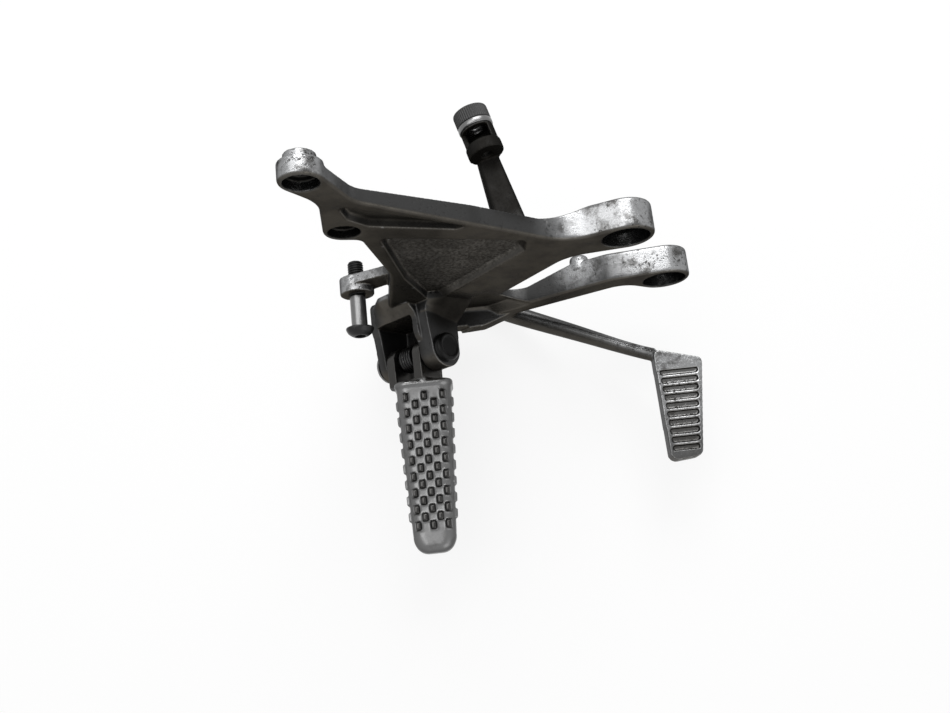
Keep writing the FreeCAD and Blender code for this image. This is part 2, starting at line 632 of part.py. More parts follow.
def block_rows(sketch, column_at, start, end):
    along = start
    while along + v["block_length"] <= end:
        across = column_at(along)
        rectangle(sketch, across - v["block_width"] / 2, -along - v["block_length"], across + v["block_width"] / 2, -along)
        along += v["block_pitch"]


def top_blocks(name, level):
    sketch = sketch_on(peg, name + "_outline", "XY_Plane", "sizes.peg_ahead - sizes.pin_back", "-sizes.peg_root_out",
                       "sizes.peg_root_height / 2 - sizes.pin_drop" + level,
                       Rotation(Vector(1, 0, 0), math.degrees(top_slope)))
    for column in range(-2, 3):
        share = column * 0.17
        stagger = 6.5 if column % 2 == 0 else 6.5 + v["block_pitch"] / 2

        def column_at(along, share=share):
            taper = (v["peg_root_width"] - v["peg_tip_width"]) * along / v["peg_length"]
            return share * (v["peg_root_width"] - taper) - v["peg_sweep"] * along / v["peg_length"]

        block_rows(sketch, column_at, stagger, v["peg_length"] - 9.0)
    return sketch


raise_pad(peg, top_blocks("top_block_feet", " - sizes.block_bite"), "sizes.block_bite", "top_block_feet")
raise_pad(peg, top_blocks("top_blocks", ""), "sizes.block_height", "top_blocks", taper="-sizes.block_taper")
for side, name in ((1, "front"), (-1, "back")):
    turn = Rotation(Vector(0, 0, 1), math.degrees(-side * side_slope - sweep_slope)).multiply(
        Rotation(Vector(0, 0, side), Vector(0, 1, 0), Vector(side, 0, 0), "ZYX"))
    side_sketch = sketch_on(
        peg, name + "_block_outline", "XY_Plane",
        "sizes.peg_ahead - sizes.pin_back + %d * (sizes.peg_root_width / 2 - sizes.block_bite)" % side,
        "-sizes.peg_root_out", "sizes.peg_root_height / 2 - sizes.pin_drop - sizes.peg_corner - 1", turn)
    block_rows(side_sketch, lambda along: 0.0, 5.5 + v["block_pitch"] / 2, v["peg_length"] - 9.0)
    raise_pad(peg, side_sketch, "sizes.side_block_height + sizes.block_bite", name + "_blocks")


# Turned pieces are revolved from a half section (along, radius).
def turned(name, half_section, start, along):
    points = [Vector(radius, 0, distance) for distance, radius in half_section]
    face = Part.Face(Part.makePolygon(points + points[:1]))
    item = doc.addObject("Part::Feature", name)
    item.Label = name
    item.Shape = face.revolve(Vector(), Vector(0, 0, 1), 360)
    item.Placement = Placement(start, Rotation(Vector(0, 0, 1), along))
    return item


# Pin, washer and clip of the peg
rear_face = -v["clevis_gap"] / 2 - v["rear_ear"]
tail = rear_face - v["pin_washer_thick"] - v["clip_thick"] - v["pin_tail"] / 2
head_top = front_face + v["pin_head_height"]
groove_low = rear_face - v["pin_washer_thick"] - v["clip_thick"]
pin = turned("peg_pivot_pin", [
    (tail, 0), (tail, v["pin_rad"] - 0.8), (tail + 0.8, v["pin_rad"]), (groove_low, v["pin_rad"]),
    (groove_low, v["clip_groove_rad"]), (groove_low + v["clip_thick"], v["clip_groove_rad"]),
    (groove_low + v["clip_thick"], v["pin_rad"]), (front_face, v["pin_rad"]), (front_face, v["pin_head_rad"]),
    (head_top - 1.2, v["pin_head_rad"]), (head_top, v["pin_head_rad"] - 1.6), (head_top - 0.8, v["pin_head_rad"] - 2.4),
    (head_top - 0.8, 0)], pin_centre, pin_along)
washer = turned("peg_pin_washer", [
    (rear_face - v["pin_washer_thick"], v["pin_rad"] + v["pin_play"]),
    (rear_face - v["pin_washer_thick"], v["pin_washer_rad"]), (rear_face, v["pin_washer_rad"]),
    (rear_face, v["pin_rad"] + v["pin_play"])], pin_centre, pin_along)

clip = doc.addObject("Part::Cut", "peg_pin_clip")
clip_disc = doc.addObject("Part::Cylinder", "clip_disc")
clip_disc.setExpression("Radius", "sizes.clip_rad")
clip_disc.setExpression("Height", "sizes.clip_thick")
clip_mouth = doc.addObject("Part::Fuse", "clip_mouth")
clip_seat = doc.addObject("Part::Cylinder", "clip_seat")
clip_seat.setExpression("Radius", "sizes.clip_groove_rad")
clip_seat.setExpression("Height", "sizes.clip_thick")
clip_slot = doc.addObject("Part::Box", "clip_slot")
clip_slot.setExpression("Length", "2 * sizes.clip_rad")
clip_slot.setExpression("Width", "1.7 * sizes.clip_groove_rad")
clip_slot.setExpression("Height", "sizes.clip_thick")
clip_slot.setExpression("Placement.Base.y", "-0.85 * sizes.clip_groove_rad")
clip_mouth.Base = clip_seat
clip_mouth.Tool = clip_slot
clip.Base = clip_disc
clip.Tool = clip_mouth
clip.Label = "peg_pin_clip"
clip.Placement = Placement(pin_centre + pin_along * groove_low, Rotation(pin_rise, outboard, pin_along, "ZXY"))


# A torsion spring: a coil whose two ends run on straight, along the tangent or along the axis.
def torsion_spring(name, coil_rad, wire, pitch, turns, legs, axial, place):
    height = pitch * turns
    helix = Part.makeHelix(pitch, height, coil_rad)
    ring = Part.Wire(Part.makeCircle(wire / 2, Vector(coil_rad, 0, 0), Vector(0, 1, 0)))
    solid = Part.Wire(helix.Edges).makePipeShell([ring], True, True)
    last = 2 * math.pi * turns
    end_point = Vector(coil_rad * math.cos(last), coil_rad * math.sin(last), height)
    points = [Vector(coil_rad, 0, 0), end_point]
    tangents = [Vector(0, -1, 0), Vector(-math.sin(last), math.cos(last), 0)]
    if axial:
        tangents = [Vector(0, 0, -1), Vector(0, 0, 1)]
    for point, along, length in zip(points, tangents, legs):
        solid = solid.fuse(Part.makeSphere(wire / 2, point))
        solid = solid.fuse(Part.makeCylinder(wire / 2, length, point, along))
    item = doc.addObject("Part::Feature", name)
    item.Label = name
    item.Shape = solid
    item.Placement = place
    return item


# The peg's spring bears on the fork's crotch and on the clevis floor.
peg_coil = v["pin_rad"] + v["peg_spring_play"] + v["peg_spring_wire"] / 2
peg_pitch = v["peg_spring_wire"] * 1.25
peg_spring = torsion_spring(
    "peg_return_spring", peg_coil, v["peg_spring_wire"], peg_pitch, 5, (root_reach - 1.5, -floor_in), False,
    Placement(pin_centre - pin_along * (2.5 * peg_pitch), Rotation(pin_rise * -1, outboard * -1, pin_along, "ZXY")))

# The brake pedal: hub, rear lever, tapered arm and ribbed pad
pedal = new_body("brake_pedal")
hub_low = v["hub_end_play"] + v["seal_thick"]
hub_high = v["hub_length"] - v["hub_end_play"] - v["seal_thick"]
hub_sketch = sketch_on(pedal, "hub_outline", "XZ_Plane", z="-sizes.hub_end_play - sizes.seal_thick - sizes.spring_seat_length",
                       **pivot_place)
disc(hub_sketch, "sizes.hub_rad")
hub_grip = "sizes.hub_length - 2 * sizes.hub_end_play - 2 * sizes.seal_thick"
raise_pad(pedal, hub_sketch, hub_grip + " - sizes.spring_seat_length", "hub", reverse=True)
seat_sketch = sketch_on(pedal, "spring_seat_outline", "XZ_Plane", z="-sizes.hub_end_play - sizes.seal_thick", **pivot_place)
disc(seat_sketch, "sizes.spring_seat_rad")
raise_pad(pedal, seat_sketch, hub_grip, "spring_seat", reverse=True)

lever_in = hub_low + v["spring_seat_length"]
lever_sketch = sketch_on(pedal, "lever_outline", "XZ_Plane", z="-sizes.hub_end_play - sizes.seal_thick - sizes.spring_seat_length")
belt(lever_sketch, [(*pivot, v["hub_rad"] - 1.0), (pivot[0] - v["lever_back"], pivot[1] - v["lever_drop"], v["lever_eye_rad"])])
raise_pad(pedal, lever_sketch, "sizes.lever_thick", "lever", reverse=True)

# Arm stations: (x, y, z, width, height), from the hub under the casting to the pad's near corner.
neck_x = v["pad_near_forward"] + 2.0
neck_y = -v["pad_inner_out"] - 2.5
neck_z = -v["pad_top_drop"] - v["pad_thick"] / 2
root_y = lever_in + v["lever_thick"] / 2
run = neck_x - pivot[0]


def arm_station(share, z, shift, width):
    height = v["arm_root_height"] + (v["arm_neck_height"] - v["arm_root_height"]) * share
    return (pivot[0] + run * share, root_y + (neck_y - root_y) * share + shift, z, width, height)


dip = -v["arm_dip"]
wide = v["arm_root_width"]
thin = v["arm_neck_width"]
stations = [
    arm_station(0.02, pivot[1] - 6.0, 1.2, v["lever_thick"] - 0.4),
    arm_station(0.10, dip * 0.8 + pivot[1] * 0.2, 2.0, 0.8 * wide),
    arm_station(0.20, dip, 1.4, wide), arm_station(0.36, dip, 1.0, 0.95 * wide),
    arm_station(0.56, dip + 9.0, 0.6, 0.55 * wide + 0.45 * thin),
    arm_station(0.78, dip * 0.4 + neck_z * 0.6, 0.3, 0.2 * wide + 0.8 * thin),
    arm_station(1.0, neck_z, 0.0, thin)]
sections = []
for index, (x, y, z, width, height) in enumerate(stations):
    sketch = sketch_on(pedal, "arm_section_%d" % (index + 1), "YZ_Plane", x="%g" % y, y="%g" % z, z="%g" % x)
    sketch.addGeometry(Part.Ellipse(Vector(), max(width, height) / 2, min(width, height) / 2))
    if height > width:
        sketch.setExpression("AttachmentOffset.Rotation.Angle", "90")
    sections.append(sketch)
blend(pedal, "AdditiveLoft", "arm", sections, ruled=False)

pad_sketch = sketch_on(pedal, "pad_outline", "XY_Plane", z="-sizes.pad_top_drop - sizes.pad_thick")
pad_x = v["pad_near_forward"]
pad_y = -v["pad_inner_out"]
pad_end = pad_y - v["pad_length"]
rounded(pad_sketch, [
    (pad_x, pad_y, 3.0), (pad_x + v["pad_inner_width"], pad_y - 7.0, 3.0),
    (pad_x + v["pad_outer_width"] + 1.0, pad_end + 1.5, 4.0), (pad_x + 1.0, pad_end, 4.0)])
pad_block = raise_pad(pedal, pad_sketch, "sizes.pad_thick", "pad")

# Grooves between the ribs stop short of the rim on both sides.
groove_sketch = sketch_on(pedal, "pad_groove_outline", "XY_Plane", z="-sizes.pad_top_drop")
groove_y = pad_y - 4.0 - v["pad_cap_length"]
while groove_y - v["pad_groove_width"] > pad_end + 3.0:
    share = (pad_y - groove_y) / v["pad_length"]
    width = v["pad_inner_width"] + (v["pad_outer_width"] - v["pad_inner_width"]) * share
    left = pad_x + share + v["pad_rim"]
    rectangle(groove_sketch, left, groove_y - v["pad_groove_width"], left + width - 2 * v["pad_rim"], groove_y)
    groove_y -= v["pad_rib_pitch"]
cut_pocket(pedal, groove_sketch, "sizes.pad_groove_depth", "pad_grooves")

bush_rad = "sizes.pivot_rad + sizes.pivot_play + sizes.bush_wall"
bore_sketch = sketch_on(pedal, "hub_bore_outline", "XZ_Plane", **pivot_place)
disc(bore_sketch, bush_rad)
cut_pocket(pedal, bore_sketch, "sizes.hub_length + 1", "hub_bore", reverse=False)
eye_sketch = sketch_on(pedal, "lever_eye_outline", "XZ_Plane", x="-sizes.pivot_back - sizes.lever_back",
                       y="-sizes.pivot_drop - sizes.lever_drop")
disc(eye_sketch, "sizes.lever_hole_rad")
cut_pocket(pedal, eye_sketch, "sizes.hub_length + 1", "lever_eye", reverse=False)

# Pivot bolt, bush, seals and washer of the pedal
inboard = Vector(0, 1, 0)
pivot_point = Vector(pivot[0], 0, pivot[1])
shoulder_end = v["hub_length"] + v["pivot_washer_thick"]
bolt_top = shoulder_end + v["pivot_head_height"]
bush_out = v["pivot_rad"] + v["pivot_play"] + v["bush_wall"]
pivot_bolt = turned("pedal_pivot_bolt", [
    (-v["pivot_thread_length"], 0), (-v["pivot_thread_length"], v["pivot_thread_rad"] - 0.8),
    (-v["pivot_thread_length"] + 0.8, v["pivot_thread_rad"]), (0, v["pivot_thread_rad"]), (0, v["pivot_rad"]),
    (shoulder_end, v["pivot_rad"]), (shoulder_end, v["pivot_head_rad"]), (bolt_top - 0.8, v["pivot_head_rad"]),
    (bolt_top, v["pivot_head_rad"] - 0.8), (bolt_top, 4.0), (bolt_top - 3.0, 4.0), (bolt_top - 3.0, 0)],
    pivot_point, inboard)
pivot_washer = turned("pedal_washer", [
    (v["hub_length"], v["pivot_rad"] + v["pivot_play"]), (v["hub_length"], v["pivot_washer_rad"]),
    (shoulder_end, v["pivot_washer_rad"]), (shoulder_end, v["pivot_rad"] + v["pivot_play"])], pivot_point, inboard)
bush = turned("pedal_bush", [
    (v["hub_end_play"], v["pivot_rad"] + v["pivot_play"]), (v["hub_end_play"], bush_out),
    (v["hub_length"] - v["hub_end_play"], bush_out),
    (v["hub_length"] - v["hub_end_play"], v["pivot_rad"] + v["pivot_play"])], pivot_point, inboard)
seals = []
for name, low in (("pedal_outer_seal", v["hub_end_play"]), ("pedal_inner_seal", hub_high)):
    high = low + v["seal_thick"]
    middle = (low + high) / 2
    seals.append(turned(name, [
        (low, bush_out), (low, v["seal_rad"] - 0.5), (middle, v["seal_rad"]), (high, v["seal_rad"] - 0.5),
        (high, bush_out)], pivot_point, inboard))

# The pedal's spring is held between the pivot boss and the hub's shoulder.
pedal_coil = v["spring_seat_rad"] + v["pedal_spring_play"] + v["pedal_spring_wire"] / 2
pedal_pitch = v["pedal_spring_wire"] * 1.12
coil_low = hub_low + 0.6
coil_high = coil_low + 2.5 * pedal_pitch
pedal_spring = torsion_spring(
    "pedal_return_spring", pedal_coil, v["pedal_spring_wire"], pedal_pitch, 2.5, (coil_low, lever_in - coil_high), True,
    Placement(pivot_point + inboard * coil_low, Rotation(Vector(0, 0, 1), Vector(1, 0, 0), inboard, "ZXY")))

# Guard bolt in the rear lug
lug_point = Vector(-v["lug_back"], -v["lug_out"] - v["lug_depth"], -v["lug_drop"])
under_head = v["guard_grip"]
dome_top = under_head + v["guard_head_height"]
tip_end = -v["lug_depth"] - v["guard_tip"]
guard_bolt = turned("guard_bolt", [
    (tip_end, 0), (tip_end, v["guard_shank_rad"] - 0.9), (tip_end + 0.9, v["guard_shank_rad"]),
    (under_head, v["guard_shank_rad"]), (under_head, v["guard_head_rad"]), (under_head + 0.8, v["guard_head_rad"]),
    (under_head + 2.6, v["guard_head_rad"] * 0.86), (dome_top - 0.6, v["guard_head_rad"] * 0.62),
    (dome_top, v["guard_head_rad"] * 0.42), (dome_top, 2.6), (dome_top - 2.4, 2.6), (dome_top - 2.4, 0)],
    lug_point, outboard)

# Collar and buffer on the stay
collar_start = stay_face + stay_along * boss_end
collar = turned("stay_collar", [
    (0, v["collar_bore_rad"]), (0, v["collar_rad"]), (v["collar_thick"], v["collar_rad"]),
    (v["collar_thick"], v["collar_bore_rad"])], collar_start, stay_along)
buffer_section = [(0, v["collar_bore_rad"])]
rib = v["buffer_thick"] / 6
for index in range(6):
    buffer_section.append((index * rib, v["buffer_rad"] - v["buffer_groove"]))
    buffer_section.append((index * rib + rib / 2, v["buffer_rad"]))
buffer_section.append((v["buffer_thick"], v["buffer_rad"] - v["buffer_groove"]))
buffer_section.append((v["buffer_thick"], v["collar_bore_rad"]))
rubber = turned("stay_buffer", buffer_section, collar_start + stay_along * v["collar_thick"], stay_along)

# Every feature has to be sound before anything is written.
doc.recompute()
for item in doc.Objects:
    if "Invalid" in item.State or "Error" in item.State:
        raise ValueError(item.Name + " failed")
pieces = [casting, stay, peg, pin, washer, clip, peg_spring, pedal, pivot_bolt, bush, *seals, pivot_washer, pedal_spring,
          guard_bolt, collar, rubber]
os.makedirs("parts", exist_ok=True)
for piece in pieces:
    if piece.Shape.isNull() or not piece.Shape.isValid():
        raise ValueError(piece.Label + " is not a sound solid")
    piece.Shape.exportStep("parts/" + piece.Label + ".step")
    print(piece.Label, len(piece.Shape.Solids), round(piece.Shape.Volume / 1000, 2), "cm3")
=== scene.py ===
import math
import bmesh
import bpy
from mathutils import Euler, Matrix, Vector


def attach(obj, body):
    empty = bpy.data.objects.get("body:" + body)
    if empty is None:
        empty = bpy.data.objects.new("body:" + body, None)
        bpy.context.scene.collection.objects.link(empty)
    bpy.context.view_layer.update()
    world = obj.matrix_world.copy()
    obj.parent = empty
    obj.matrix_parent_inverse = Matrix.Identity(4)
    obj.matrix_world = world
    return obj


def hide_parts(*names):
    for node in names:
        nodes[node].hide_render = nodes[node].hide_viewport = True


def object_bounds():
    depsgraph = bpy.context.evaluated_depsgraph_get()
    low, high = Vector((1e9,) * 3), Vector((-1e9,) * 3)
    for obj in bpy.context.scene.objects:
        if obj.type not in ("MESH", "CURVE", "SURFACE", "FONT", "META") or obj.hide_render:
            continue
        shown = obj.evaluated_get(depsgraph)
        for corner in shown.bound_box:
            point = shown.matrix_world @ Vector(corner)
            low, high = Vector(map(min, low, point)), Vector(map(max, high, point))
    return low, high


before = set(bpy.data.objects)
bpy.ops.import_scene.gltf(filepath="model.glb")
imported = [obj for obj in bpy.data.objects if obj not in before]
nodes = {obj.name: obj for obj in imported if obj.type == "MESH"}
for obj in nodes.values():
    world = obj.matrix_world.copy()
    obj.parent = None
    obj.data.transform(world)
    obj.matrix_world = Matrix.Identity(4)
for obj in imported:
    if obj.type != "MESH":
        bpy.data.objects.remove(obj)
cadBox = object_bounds()
mm = 0.001
print("frame loaded:", len(nodes), "nodes")


# a socket that can be used in Python sums
class Flow:
    def __init__(self, tree, socket):
        self.tree = tree
        self.socket = socket

    def sum(self, operation, first, second):
        made = self.tree.nodes.new("ShaderNodeMath")
        made.operation = operation
        for place, value in zip(made.inputs, (first, second)):
            if isinstance(value, Flow):
                self.tree.links.new(value.socket, place)
            else:
                place.default_value = value
        return Flow(self.tree, made.outputs[0])

    def __add__(self, other):
        return self.sum("ADD", self, other)

    def __radd__(self, other):
        return self.sum("ADD", other, self)

    def __sub__(self, other):
        return self.sum("SUBTRACT", self, other)

    def __rsub__(self, other):
        return self.sum("SUBTRACT", other, self)

    def __mul__(self, other):
        return self.sum("MULTIPLY", self, other)

    def __rmul__(self, other):
        return self.sum("MULTIPLY", other, self)


# one finish: a principled shader and the nodes that feed it
class Finish:
    def __init__(self, name):
        self.material = bpy.data.materials.new(name)
        self.material.use_nodes = True
        self.tree = self.material.node_tree
        self.tree.nodes.clear()
        self.shader = self.tree.nodes.new("ShaderNodeBsdfPrincipled")
        output = self.tree.nodes.new("ShaderNodeOutputMaterial")
        self.tree.links.new(self.shader.outputs[0], output.inputs[0])
        self.place = self.node("ShaderNodeTexCoord", out="Object")
        facing = self.node("ShaderNodeTexCoord", out="Normal")
        self.ny, self.nz = [self.part(facing, axis) for axis in "YZ"]
        self.px, self.py, self.pz = [self.part(self.place, axis) for axis in "XYZ"]

    def feed(self, socket, value):
        if isinstance(value, Flow):
            self.tree.links.new(value.socket, socket)
        else:
            socket.default_value = value

    def node(self, kind, settings=None, sockets=None, out=0):
        made = self.tree.nodes.new(kind)
        for key, value in (settings or {}).items():
            setattr(made, key, value)
        for key, value in (sockets or {}).items():
            self.feed(made.inputs[key], value)
        return Flow(self.tree, made.outputs[out])

    def part(self, vector, axis):
        return self.node("ShaderNodeSeparateXYZ", {}, {0: vector}, axis)

    def noise(self, scale, detail, rough, stretch=None):
        place = self.place
        if stretch:
            place = self.node("ShaderNodeMapping", {}, {"Vector": self.place, "Scale": stretch})
        grain = {"Vector": place, "Scale": scale, "Detail": detail, "Roughness": rough}
        return self.node("ShaderNodeTexNoise", {}, grain)

    def step(self, value, low, high):
        return self.node("ShaderNodeMapRange", {"interpolation_type": "SMOOTHSTEP"},
                         {"Value": value, "From Min": low, "From Max": high})

    def tint(self, share, first, second):
        return self.node("ShaderNodeMix", {"data_type": "RGBA"}, {0: share, 6: first, 7: second}, 2)

    def edges(self, low, high):
        return self.step(self.node("ShaderNodeNewGeometry", out="Pointiness"), low, high)

    def distance(self, place, point):
        ends = {0: place, 1: point}
        return self.node("ShaderNodeVectorMath", {"operation": "DISTANCE"}, ends, "Value")

    # 1 inside a ball round a point, fading to 0
    def near(self, spot):
        x, y, z, inner, outer = [value * mm for value in spot]
        return self.step(self.distance(self.place, (x, y, z)), outer, inner)

    # 1 inside a hole along Y, fading out past its wall and past its inboard end
    def bore(self, hole, past=0.7 * mm, within=0.2 * mm, ending=0.5 * mm):
        x, z, radius, end = [value * mm for value in hole]
        flat = self.node("ShaderNodeCombineXYZ", {}, {"X": self.px, "Z": self.pz})
        inside = self.step(self.distance(flat, (x, 0.0, z)), radius + past, radius - within)
        return inside * self.step(self.py, end, end - ending)

    # 1 in a pocket's lower corner: just above a line in the XZ plane, and behind the face
    def channel(self, line, below=0.8 * mm, edge=0.1 * mm, behind=0.6 * mm):
        rise, fade, face = [line[key] * mm for key in ("rise", "fade", "face")]
        height = self.pz - (self.px - line["x"] * mm) * line["slope"] - line["z"] * mm
        low = self.step(height, -below, -edge) * self.step(height, rise + fade, rise)
        return low * self.step(self.py, face, face + behind) * self.step(self.ny, 0.3, 0.0)

    def most(self, shares):
        found = shares[0]
        for share in shares[1:]:
            found = found.sum("MAXIMUM", found, share)
        return found

    # a rim below 1 dims the shine of faces seen at a low angle
    def dress(self, color, rough, metal, bump, depth, reach, rim=1.0):
        self.shader.inputs["Specular Tint"].default_value = grey(rim)
        self.feed(self.shader.inputs["Base Color"], color)
        self.feed(self.shader.inputs["Roughness"], rough)
        self.feed(self.shader.inputs["Metallic"], metal)
        raised = {"Strength": depth, "Distance": reach * mm, "Height": bump}
        self.feed(self.shader.inputs["Normal"], self.node("ShaderNodeBump", {}, raised))
        return self.material


# a grey with a warm or, below 0, a cool cast
def grey(level, warm=0.0):
    return (level * (1 + warm), level, level * (1 - 1.5 * warm), 1.0)


# noise scales and dirt that the castings share
castWear = {
    "mottle": 55.0, "stain": 170.0, "blotch": 130.0, "pit": 620.0, "peel": 640.0,
    "corner": grey(0.02, 0.05), "shadeTone": grey(0.007, 0.1), "lowTone": grey(0.04, 0.05),
    "bore": grey(0.012, 0.05), "pitted": grey(0.015, 0.05),
}


# sand-cast alloy: tarnished on the outboard face, pitted on top of bosses and arms, and lighter there with
# painted highlight and rubbed metal; the tone of each facing is partly painted light and shade
def castAlloy(name, look):
    made = Finish(name)
    grain = made.noise(look["grain"], 4.0, 0.6)
    mottle = made.noise(castWear["mottle"], 5.0, 0.6)
    stain = made.noise(castWear["stain"], 4.0, 0.65)
    blotch = made.step(made.noise(castWear["blotch"], 5.0, 0.65), 0.47, 0.66)
    top = made.step(made.nz + (mottle - 0.5) * 0.5, 0.1, 0.75)
    outer = made.step(made.ny * -1.0, 0.15, 0.7)
    # painted highlight with rubbed metal: bright spots on the top faces
    rubbedSheen = made.most([made.near(spot) for spot in look["rubbedSheen"]])
    dark = made.most([made.bore(hole) for hole in look["bores"]])
    # painted shade: dark spots in recesses and between parts, which also roughen the surface
    shadeParts = [made.near(spot) for spot in look["shadeSpots"]]
    if "channel" in look:  # painted shade along the upper pocket's lower wall
        shadeParts.append(made.channel(look["channel"]) * made.near(look["shadeBall"]) * 0.9)
    shadeSpots = made.most(shadeParts)
    speck = made.step(made.noise(castWear["pit"], 3.0, 0.7), 0.55, 0.63) * made.step(mottle, 0.43, 0.58)
    speck = speck * top * (0.35 + 0.65 * rubbedSheen)
    rough = look["rough"] + 0.2 * (stain - 0.5) + 0.12 * (grain - 0.5) + 0.25 * (speck + shadeSpots)
    rough = rough - 0.12 * rubbedSheen * top
    relief = grain * 0.35 + stain * 0.5 - speck
    # bare metal, lighter in the spots of painted highlight and rubbed metal on top faces, and a tone for
    # each facing, partly painted light and shade; then the tarnish over it
    color = made.tint(blotch * 0.9, grey(look["bright"], -0.01), grey(look["bright"] * 0.25, 0.02))
    color = made.tint(rubbedSheen, grey(look["top"]), color)
    color = made.tint(top, grey(look["side"]), color)
    color = made.tint(outer * (0.8 + 0.2 * stain), color, grey(look["outer"], 0.1))
    if "pocket" in look:  # the main pocket's floor is rough and peeled
        deep = made.step(made.py, look["sunk"] * mm, (look["sunk"] + look["sunkFade"]) * mm)
        floor = outer * deep * made.near(look["pocket"])
        peel = made.noise(castWear["peel"], 5.0, 0.75)
        color = made.tint(floor * 0.8, color, grey(look["outer"] * 0.6, 0.08))
        color = made.tint(floor * made.step(peel, 0.42, 0.62), color, grey(look["outer"] * 1.7, 0.06))
        rough = rough + 0.1 * floor
        relief = relief + peel * floor * 1.6
    color = made.tint(outer * made.step(mottle, 0.42, 0.62) * 0.5, color, grey(look["outer"] * 0.5, 0.08))
    color = made.tint(made.step(stain, 0.5, 0.75) * 0.45, color, grey(look["stain"], 0.03))
    # convex edges lighter: painted highlight with edge wear; then painted shade in concave corners and in
    # the shade spots
    color = made.tint(made.edges(0.515, 0.57) * 0.55, color, grey(look["wornSheen"]))
    # painted shade in concave corners
    color = made.tint(made.edges(0.485, 0.43) * 0.7, color, castWear["corner"])
    # painted shade laid over the shade spots
    color = made.tint(shadeSpots * (0.75 + 0.25 * stain), color, castWear["shadeTone"])
    if "trough" in look:  # darker low between the pad's ribs
        low = made.step(made.pz, look["level"] * mm, (look["level"] - look["levelFade"]) * mm) * top
        color = made.tint(low * made.near(look["trough"]) * 0.7, color, castWear["lowTone"])
    # painted shade inside the bores
    color = made.tint(dark * 0.92, color, castWear["bore"])
    color = made.tint(speck * 0.85, color, castWear["pitted"])
    return made.dress(color, rough, look["metal"], relief, 0.35, 0.5, look["rim"])


# tread alloy: pale dusty ground, side faces darkened with painted shade, dark studs with worn tops
def treadAlloy(name, look):
    made = Finish(name)
    grain = made.noise(look["grain"], 4.0, 0.6)
    stain = made.noise(look["stains"], 4.0, 0.65)
    out = made.py * -1.0
    start, end, lip, fade = [look[key] * mm for key in ("start", "end", "lip", "fade")]
    height = made.pz - (start - out) * (look["fall"] / look["length"]) - look["level"] * mm
    raised = made.step(height, look["studFoot"] * mm, look["studTop"] * mm) * made.step(made.nz, -0.2, 0.3)
    stud = raised * made.step(out, start + lip, start + lip + fade)
    stud = stud * made.step(out, end + fade / 2, end - fade / 2)
    # painted shade over the fork end, inside the clevis
    fork = made.step(out, start + look["forkPast"] * mm, start - look["forkFade"] * mm)
    # side faces darker: painted shade; the pale up faces are dust
    color = made.tint(made.step(made.nz, 0.3, 0.85), grey(look["side"]), grey(look["ground"]))
    color = made.tint(stud, color, grey(look["stud"], 0.02))
    color = made.tint(made.step(stain, 0.5, 0.75) * 0.4, color, grey(look["stain"], 0.03))
    # convex edges off the studs lighter: painted highlight with edge wear; concave corners darker: painted
    # shade
    color = made.tint(made.edges(0.53, 0.62) * (1.0 - stud) * 0.5, color, grey(look["wornSheen"]))
    color = made.tint(made.edges(0.48, 0.42) * 0.6, color, grey(look["corner"], 0.05))
    # painted shade at the fork end
    color = made.tint(fork * 0.85, color, grey(look["fork"], 0.06))
    rough = look["rough"] + 0.18 * (stain - 0.5) - 0.2 * raised
    return made.dress(color, rough, 0.9, grain * 0.5 + stain * 0.5, 0.3, 0.4)


def blackSteel(name, level, rough):
    made = Finish(name)
    scuff = made.noise(400.0, 4.0, 0.6)
    # convex edges lighter: painted highlight with edge wear
    color = made.tint(made.edges(0.52, 0.6) * 0.6, grey(level), grey(level * 5))
    color = made.tint(made.step(scuff, 0.55, 0.8) * 0.4, color, grey(level * 2.5))
    return made.dress(color, rough + 0.2 * (scuff - 0.5), 0.85, scuff, 0.15, 0.2)


def brightSteel(name, level, rough):
    made = Finish(name)
    scuff = made.noise(500.0, 4.0, 0.6, (1.0, 0.15, 1.0))
    spots = made.step(made.noise(260.0, 4.0, 0.7), 0.58, 0.72)
    color = made.tint(spots * 0.5, grey(level), grey(level * 0.3, 0.03))
    return made.dress(color, rough + 0.15 * (scuff - 0.5) + 0.2 * spots, 1.0, scuff, 0.1, 0.15)


def blackRubber(name):
    made = Finish(name)
    dust = made.noise(350.0, 4.0, 0.6)
    color = made.tint(made.step(dust, 0.5, 0.8), grey(0.008), grey(0.02, 0.02))
    return made.dress(color, 0.62 + 0.2 * (dust - 0.5), 0.0, dust, 0.2, 0.2)


def turnedBronze(name):
    made = Finish(name)
    wear = made.noise(300.0, 3.0, 0.6)
    color = made.tint(wear, (0.42, 0.27, 0.12, 1.0), (0.25, 0.15, 0.07, 1.0))
    return made.dress(color, 0.35 + 0.2 * (wear - 0.5), 1.0, wear, 0.1, 0.2)


